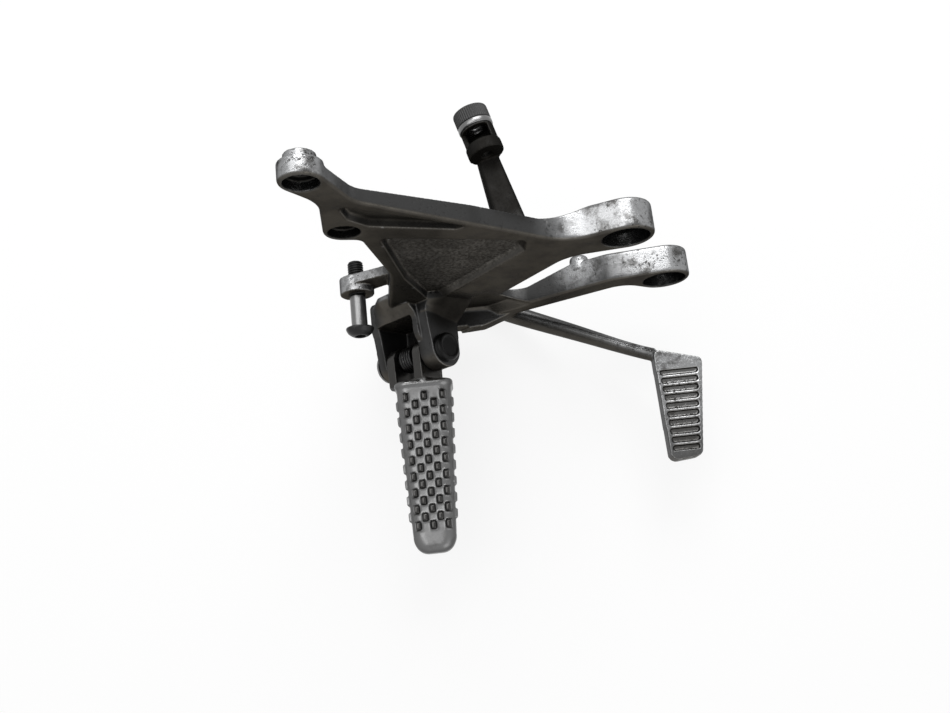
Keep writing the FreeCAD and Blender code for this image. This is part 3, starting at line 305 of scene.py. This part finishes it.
# in the looks a spot is x, y, z, then the radii where it starts and stops fading
# a bore is x, z, radius and inboard end, and all are in mm
hangerLook = {
    "grain": 1500.0, "side": 0.055, "top": 0.05, "bright": 0.3, "outer": 0.07, "stain": 0.04, "wornSheen": 0.26,
    "rough": 0.38, "metal": 0.9, "rim": 0.3,
    "pocket": (-85.0, -12.0, -14.0, 36.0, 42.0), "sunk": -13.6, "sunkFade": 1.0,
    # painted shade ball over the upper pocket; the channel under it is the line along the upper pocket's
    # lower wall
    "shadeBall": (-97.0, -13.0, 38.0, 26.0, 33.0),
    "channel": {"x": -113.0, "z": 41.5, "slope": -0.333, "rise": 2.5, "fade": 6.0, "face": -14.9},
    # painted shade spots in recesses and between parts
    "shadeSpots": [(-56.0, 18.0, 13.0, 20.0, 32.0), (-104.0, -36.0, -84.0, 12.0, 22.0),
              (-82.0, -18.0, -65.0, 8.0, 18.0)],
    # painted highlight with rubbed metal on the top faces of arms and bosses
    "rubbedSheen": [(8.0, -4.0, 6.0, 24.0, 56.0), (34.0, -8.0, -56.0, 12.0, 42.0),
               (-14.0, -2.0, -62.0, 4.0, 20.0), (-132.0, -2.0, 88.0, 12.0, 32.0),
               (-128.0, -8.0, -50.0, 14.0, 24.0)],
    # bores that get painted shade inside
    "bores": [(0.0, 0.0, 11.0, -4.9), (30.5, -65.5, 11.0, -4.9),
              (-132.5, 86.0, 6.75, -9.5), (-123.5, 37.5, 6.75, -9.5)],
}
pegLook = {
    "ground": 0.15, "side": 0.06, "stud": 0.045, "wornSheen": 0.45, "stain": 0.06, "corner": 0.02, "fork": 0.025,
    "rough": 0.31, "grain": 1800.0, "stains": 190.0,
    "level": -71.5, "fall": 2.0, "length": 88.0, "start": 53.5, "end": 134.0, "lip": 3.0, "fade": 2.0,
    "studFoot": 0.3, "studTop": 0.9, "forkPast": 0.5, "forkFade": 1.0,
}
pedalLook = {
    "grain": 1300.0, "side": 0.06, "top": 0.075, "bright": 0.28, "outer": 0.05, "stain": 0.05, "wornSheen": 0.34,
    "rough": 0.32, "metal": 0.95, "rim": 0.6,
    "trough": (32.0, -82.0, -80.0, 23.0, 26.0), "level": -79.7, "levelFade": 0.6,
    # painted shade spot at the pivot's inboard end
    "shadeSpots": [(-90.0, 10.0, -92.0, 14.0, 30.0)],
    # painted highlight with rubbed metal on the pad's top
    "rubbedSheen": [(28.0, -58.0, -79.0, 10.0, 50.0)],
    "bores": [(-90.0, -92.0, 8.0, 40.0), (-109.0, -98.0, 3.1, 40.0)],
}
hangerAlloy = castAlloy("hangerAlloy", hangerLook)
pegAlloy = treadAlloy("pegAlloy", pegLook)
pedalAlloy = castAlloy("pedalAlloy", pedalLook)
pinBlack = blackSteel("pinBlack", 0.008, 0.42)
headBlack = blackSteel("headBlack", 0.025, 0.35)
springBlack = blackSteel("springBlack", 0.025, 0.3)
zincSteel = brightSteel("zincSteel", 0.17, 0.3)
bufferRubber = blackRubber("bufferRubber")
bushBronze = turnedBronze("bushBronze")
print("finishes made")


def newPiece(name, mesh, body, slot, materials, *stands):
    piece = bpy.data.objects.new(name, mesh)
    bpy.context.scene.collection.objects.link(piece)
    for material in materials:
        mesh.materials.append(material)
    for face in mesh.polygons:
        face.use_smooth = True
    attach(piece, body)
    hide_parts(*stands)
    return piece


# a casting or forging: its solids' skin, closed and softened as a mould leaves it
skinSet = {"merge": 0.002, "pull": 0.5}


def softSkin(name, cast, material):
    mesh = bpy.data.meshes.new(name + "Draft")
    build = bmesh.new()
    for node in cast["stands"]:
        build.from_mesh(nodes[node].data)
    bmesh.ops.remove_doubles(build, verts=build.verts, dist=skinSet["merge"] * mm)
    build.to_mesh(mesh)
    build.free()
    turn = Euler(cast["turn"]).to_matrix().to_4x4()
    mesh.transform(turn)
    draft = bpy.data.objects.new(name + "Draft", mesh)
    bpy.context.scene.collection.objects.link(draft)
    remesh = draft.modifiers.new("skin", "REMESH")
    remesh.mode = "VOXEL"
    remesh.voxel_size = cast["voxel"] * mm
    soften = draft.modifiers.new("soften", "SMOOTH")
    soften.factor = skinSet["pull"]
    soften.iterations = cast["passes"]
    thin = draft.modifiers.new("thin", "DECIMATE")
    thin.ratio = cast["kept"]
    graph = bpy.context.evaluated_depsgraph_get()
    shaped = bpy.data.meshes.new_from_object(draft.evaluated_get(graph))
    bpy.data.objects.remove(draft)
    shaped.name = name
    shaped.transform(turn.inverted())
    print(name, len(shaped.polygons), "faces")
    return newPiece(name, shaped, cast["body"], cast["slot"], [material], *cast["stands"])


# turned while its skin is made, so that its long edges don't run along the voxels
hangerCast = {
    "stands": ["hanger_casting", "stay_bracket"], "body": "hanger", "slot": "cast_alloy",
    "voxel": 0.42, "passes": 10, "kept": 0.23, "turn": (0.5, 0.7, 0.3),
}
softSkin("hangerBody", hangerCast, hangerAlloy)

pegCast = {
    "stands": ["footpeg"], "body": "peg", "slot": "peg_alloy",
    "voxel": 0.42, "passes": 9, "kept": 0.9, "turn": (0.0, 0.0, 0.0),
    "noseStart": 132.5, "noseLength": 9.0, "noseMiddle": -101.9, "noseSwell": 0.11,
}


# the nose's straight flanks swell into a curve that meets the bar smoothly
def swellNose(piece, cast):
    for vert in piece.data.vertices:
        share = (-vert.co.y / mm - cast["noseStart"]) / cast["noseLength"]
        if 0.0 < share < 1.0:
            aside = vert.co.x - cast["noseMiddle"] * mm
            vert.co.x += aside * cast["noseSwell"] * math.sin(math.pi * share)


swellNose(softSkin("pegBody", pegCast, pegAlloy), pegCast)

pedalCast = {
    "stands": ["brake_pedal"], "body": "pedal", "slot": "pedal_alloy",
    "voxel": 0.5, "passes": 3, "kept": 0.9, "turn": (0.0, 0.0, 0.0),
    "padNear": 21.8, "padInner": -48.0, "padLength": 60.0, "inWidth": 25.4, "outWidth": 16.5, "rim": 1.8,
    "firstGroove": -60.0, "pitch": 4.5, "groove": 2.4, "grooves": 10,
    "ribFoot": -80.6, "ribTop": -78.9, "ribFall": 0.75,
}


# the pad's ribs fall away from their crests on both sides, and the rim round them stays flat
def roundRibs(piece, cast):
    ribsFrom = cast["firstGroove"] - 0.5 * cast["groove"]
    ribsTo = ribsFrom - (cast["grooves"] - 1) * cast["pitch"]
    halfRib = 0.5 * (cast["pitch"] - cast["groove"])
    foot = cast["ribFoot"]
    for vert in piece.data.vertices:
        x, y, z = vert.co / mm
        if ribsTo < y < ribsFrom and foot < z < cast["ribTop"]:
            share = (cast["padInner"] - y) / cast["padLength"]
            left = cast["padNear"] + share + cast["rim"]
            width = cast["inWidth"] + (cast["outWidth"] - cast["inWidth"]) * share - 2 * cast["rim"]
            inside = max(0.0, min(1.0, x - left, left + width - x))
            aside = abs((cast["firstGroove"] - y) % cast["pitch"] - cast["pitch"] + halfRib) / halfRib
            kept = 1.0 - cast["ribFall"] * inside * min(1.0, aside) ** 2
            vert.co.z = (foot + (z - foot) * kept) * mm


roundRibs(softSkin("pedalBody", pedalCast, pedalAlloy), pedalCast)
print("castings made")


# lengths in mm for the turned pieces, and the most of a side that a corner's curve takes
turnSet = {"merge": 0.001, "axis": 0.01, "bite": 0.45}


# corners of a half section (distance, radius) eased by a small curve
def eased(section, ease):
    points = [Vector(section[0])]
    for before, here, after in zip(section, section[1:], section[2:]):
        corner = Vector(here)
        back = Vector(before) - corner
        ahead = Vector(after) - corner
        first = corner + back.normalized() * min(ease, back.length * turnSet["bite"])
        last = corner + ahead.normalized() * min(ease, ahead.length * turnSet["bite"])
        points += [first, first * 0.25 + corner * 0.5 + last * 0.25, last]
    return points + [Vector(section[-1])]


# a turned piece: its section is spun, then each ring may be reshaped by angle
def turnedPiece(name, turned, materials, reshape=None, choose=None):
    build = bmesh.new()
    points = eased(turned["section"], turned["ease"])
    fine = [points[0]]
    for point in points[1:]:
        parts = max(1, math.ceil((point - fine[-1]).length / turned["span"]))
        start = fine[-1]
        fine += [start.lerp(point, part / parts) for part in range(1, parts + 1)]
    row = [build.verts.new((radius, 0.0, distance)) for distance, radius in fine]
    lines = [build.edges.new(pair) for pair in zip(row, row[1:])]
    bmesh.ops.spin(build, geom=row + lines, cent=(0, 0, 0), axis=(0, 0, 1), dvec=(0, 0, 0),
                   angle=2 * math.pi, steps=turned["steps"], use_merge=True, use_duplicate=False)
    bmesh.ops.remove_doubles(build, verts=build.verts, dist=turnSet["merge"])
    bmesh.ops.recalc_face_normals(build, faces=build.faces)
    if choose:
        for face in build.faces:
            face.material_index = choose(face.calc_center_median())
    if reshape:
        for vert in build.verts:
            radius = math.hypot(vert.co.x, vert.co.y)
            if radius > turnSet["axis"]:
                share = reshape(math.atan2(vert.co.y, vert.co.x), vert.co.z, radius) / radius
                vert.co.x *= share
                vert.co.y *= share
    turn = Vector((0, 0, 1)).rotation_difference(Vector(turned["along"]))
    for vert in build.verts:
        vert.co = (turn @ vert.co + Vector(turned["at"])) * mm
    mesh = bpy.data.meshes.new(name)
    build.to_mesh(mesh)
    build.free()
    return newPiece(name, mesh, "hanger", turned["slot"], materials, turned["node"])


# button-head bolt in the rear lug: black thread, bright shank, dark head with a socket
guard = {
    "node": "guard_bolt", "slot": "bright_steel", "at": (-128.5, -12.0, -50.0), "along": (0.0, -1.0, 0.0),
    "steps": 48, "span": 0.25, "ease": 0.5,
    "thread": (-17.2, 1.2), "pitch": 1.25, "depth": 0.55, "core": 2.0, "runOut": 1.2, "shankEnd": 17.3,
    "section": [(-17.6, 0.0), (-17.6, 3.1), (-16.7, 4.0), (17.4, 4.0), (17.4, 7.0), (18.2, 7.0),
                (20.0, 6.1), (21.3, 4.4), (21.8, 3.2), (21.8, 2.7), (19.4, 2.6), (19.4, 0.0)],
}


def guardThread(angle, distance, radius):
    low, high = guard["thread"]
    if not low < distance < high or radius < guard["core"]:
        return radius
    wave = 0.5 + 0.5 * math.cos(2 * math.pi * distance / guard["pitch"] - angle)
    return radius - guard["depth"] * wave * min(1.0, (high - distance) / guard["runOut"])


# 0 thread, 1 shank, 2 head
def guardFinish(centre):
    if centre.z < guard["thread"][1]:
        return 0
    return 1 if centre.z < guard["shankEnd"] else 2


turnedPiece("guardBolt", guard, [pinBlack, zincSteel, headBlack], guardThread, guardFinish)

# hinge pin of the peg: black, with a dished and rounded head
hinge = {
    "node": "peg_pivot_pin", "slot": "black_steel", "at": (-104.5, -39.2, -84.0), "along": (1.0, 0.0, 1.0),
    "steps": 64, "span": 2.0, "ease": 0.7,
    "section": [(-24.4, 0.0), (-24.4, 4.2), (-23.6, 5.0), (-21.9, 5.0), (-21.9, 4.0), (-20.7, 4.0),
                (-20.7, 5.0), (24.0, 5.0), (24.0, 7.5), (27.3, 7.5), (28.5, 5.9), (27.7, 5.1), (27.7, 0.0)],
}
turnedPiece("hingePin", hinge, [pinBlack])

# the stay's end: a collar and, on it, a buffer with fine ribs along it
stay = {"foot": (-59.9, 22.9, 20.0), "lean": 14.5, "collarAt": 13.0, "bufferAt": 15.8}
stayLean = math.radians(stay["lean"])
stayAlong = Vector((-math.sin(stayLean), math.cos(stayLean), 0.0))
stayFoot = Vector(stay["foot"])
buffer = {
    "node": "stay_buffer", "slot": "rubber",
    "at": stayFoot + stayAlong * stay["bufferAt"], "along": stayAlong,
    "steps": 192, "span": 1.0, "ease": 0.6,
    "ribs": 48, "depth": 0.5, "ribFrom": 0.5, "ribTo": 5.9, "core": 7.0,
    "section": [(0.0, 3.2), (0.0, 8.0), (6.4, 8.0), (6.4, 3.2), (0.0, 3.2)],
}


def bufferRib(angle, distance, radius):
    if radius <= buffer["core"] or not buffer["ribFrom"] < distance < buffer["ribTo"]:
        return radius
    return radius - buffer["depth"] * (0.5 + 0.5 * math.cos(buffer["ribs"] * angle))


turnedPiece("stayBuffer", buffer, [bufferRubber], bufferRib)

collar = {
    "node": "stay_collar", "slot": "bright_steel",
    "at": stayFoot + stayAlong * stay["collarAt"], "along": stayAlong,
    "steps": 64, "span": 1.0, "ease": 0.7,
    "section": [(0.0, 3.2), (0.0, 8.0), (2.8, 8.0), (2.8, 3.2), (0.0, 3.2)],
}
turnedPiece("stayCollar", collar, [zincSteel])

# pieces that keep their solid's shape
nodeFinish = {
    "peg_pin_washer": zincSteel, "peg_pin_clip": springBlack, "peg_return_spring": springBlack,
    "pedal_pivot_bolt": zincSteel, "pedal_bush": bushBronze, "pedal_outer_seal": bufferRubber,
    "pedal_inner_seal": bufferRubber, "pedal_washer": zincSteel, "pedal_return_spring": springBlack,
}
for node, material in nodeFinish.items():
    nodes[node].data.materials.clear()
    nodes[node].data.materials.append(material)
print("pieces dressed")


# floor, lamps and camera: what is seen, also in the metal, is pale, and what lights the part is softer
stageSet = {
    "size": 6.0, "drop": 0.002, "white": 0.82, "glow": 0.86, "pale": 0.95, "light": 0.28,
    "middle": (-0.05, -0.03, 0.0),
}


def seenShare(tree):
    rays = tree.nodes.new("ShaderNodeLightPath")
    seen = Flow(tree, rays.outputs["Is Camera Ray"])
    for kind in ("Is Glossy Ray", "Is Transmission Ray"):
        seen = seen.sum("MAXIMUM", seen, Flow(tree, rays.outputs[kind]))
    return seen


# the first shader for rays that light the part, the second for rays that show it
def mixSeen(tree, output, first, second, share):
    mix = tree.nodes.new("ShaderNodeMixShader")
    tree.links.new((seenShare(tree) * share).socket, mix.inputs[0])
    tree.links.new(first.outputs[0], mix.inputs[1])
    tree.links.new(second.outputs[0], mix.inputs[2])
    tree.links.new(mix.outputs[0], output.inputs[0])


floorMesh = bpy.data.meshes.new("floor")
build = bmesh.new()
bmesh.ops.create_grid(build, x_segments=1, y_segments=1, size=stageSet["size"])
build.to_mesh(floorMesh)
build.free()
floor = bpy.data.objects.new("floor", floorMesh)
bpy.context.scene.collection.objects.link(floor)
floor.location.z = cadBox[0][2] - stageSet["drop"]
paper = bpy.data.materials.new("paper")
paper.use_nodes = True
paper.node_tree.nodes.clear()
paperOut = paper.node_tree.nodes.new("ShaderNodeOutputMaterial")
paperMatte = paper.node_tree.nodes.new("ShaderNodeBsdfDiffuse")
paperMatte.inputs["Color"].default_value = grey(stageSet["white"])
paperGlow = paper.node_tree.nodes.new("ShaderNodeEmission")
paperGlow.inputs["Strength"].default_value = 1.0
mixSeen(paper.node_tree, paperOut, paperMatte, paperGlow, stageSet["glow"])
floorMesh.materials.append(paper)

world = bpy.data.worlds.new("studio")
world.use_nodes = True
world.node_tree.nodes.clear()
skyOut = world.node_tree.nodes.new("ShaderNodeOutputWorld")
skies = []
for strength in (stageSet["light"], stageSet["pale"]):
    sky = world.node_tree.nodes.new("ShaderNodeBackground")
    sky.inputs["Color"].default_value = grey(1.0)
    sky.inputs["Strength"].default_value = strength
    skies.append(sky)
mixSeen(world.node_tree, skyOut, *skies, 1.0)
bpy.context.scene.world = world

lamps = {
    "backSoft": {"at": (0.05, 0.7, 0.75), "size": 0.7, "power": 11.0},
    "topSoft": {"at": (-0.5, 0.1, 0.95), "size": 0.8, "power": 5.0},
    "frontFill": {"at": (0.5, -0.9, 0.5), "size": 0.9, "power": 3.0},
}
for name, lamp in lamps.items():
    toMiddle = Vector(stageSet["middle"]) - Vector(lamp["at"])
    light = bpy.data.lights.new(name, "AREA")
    light.size = lamp["size"]
    light.energy = lamp["power"]
    holder = bpy.data.objects.new(name, light)
    holder.location = lamp["at"]
    holder.rotation_euler = toMiddle.to_track_quat("-Z", "Y").to_euler()
    bpy.context.scene.collection.objects.link(holder)

# the focal length and the picture's width are in pixels, the sensor in mm
view = {
    "at": (-0.085155, -0.166707, 0.394266), "down": 75.2, "yaw": 6.0,
    "focal": 927.0, "width": 950.0, "sensor": 36.0,
}
lens = bpy.data.cameras.new("photoCamera")
lens.sensor_width = view["sensor"]
lens.lens = view["sensor"] * view["focal"] / view["width"]
camera = bpy.data.objects.new("photoCamera", lens)
camera.location = view["at"]
camera.rotation_euler = Euler((math.radians(90.0 - view["down"]), 0.0, math.radians(-view["yaw"])))
bpy.context.scene.collection.objects.link(camera)
bpy.context.scene.camera = camera
bpy.context.scene.view_settings.view_transform = "Standard"
print("stage set")
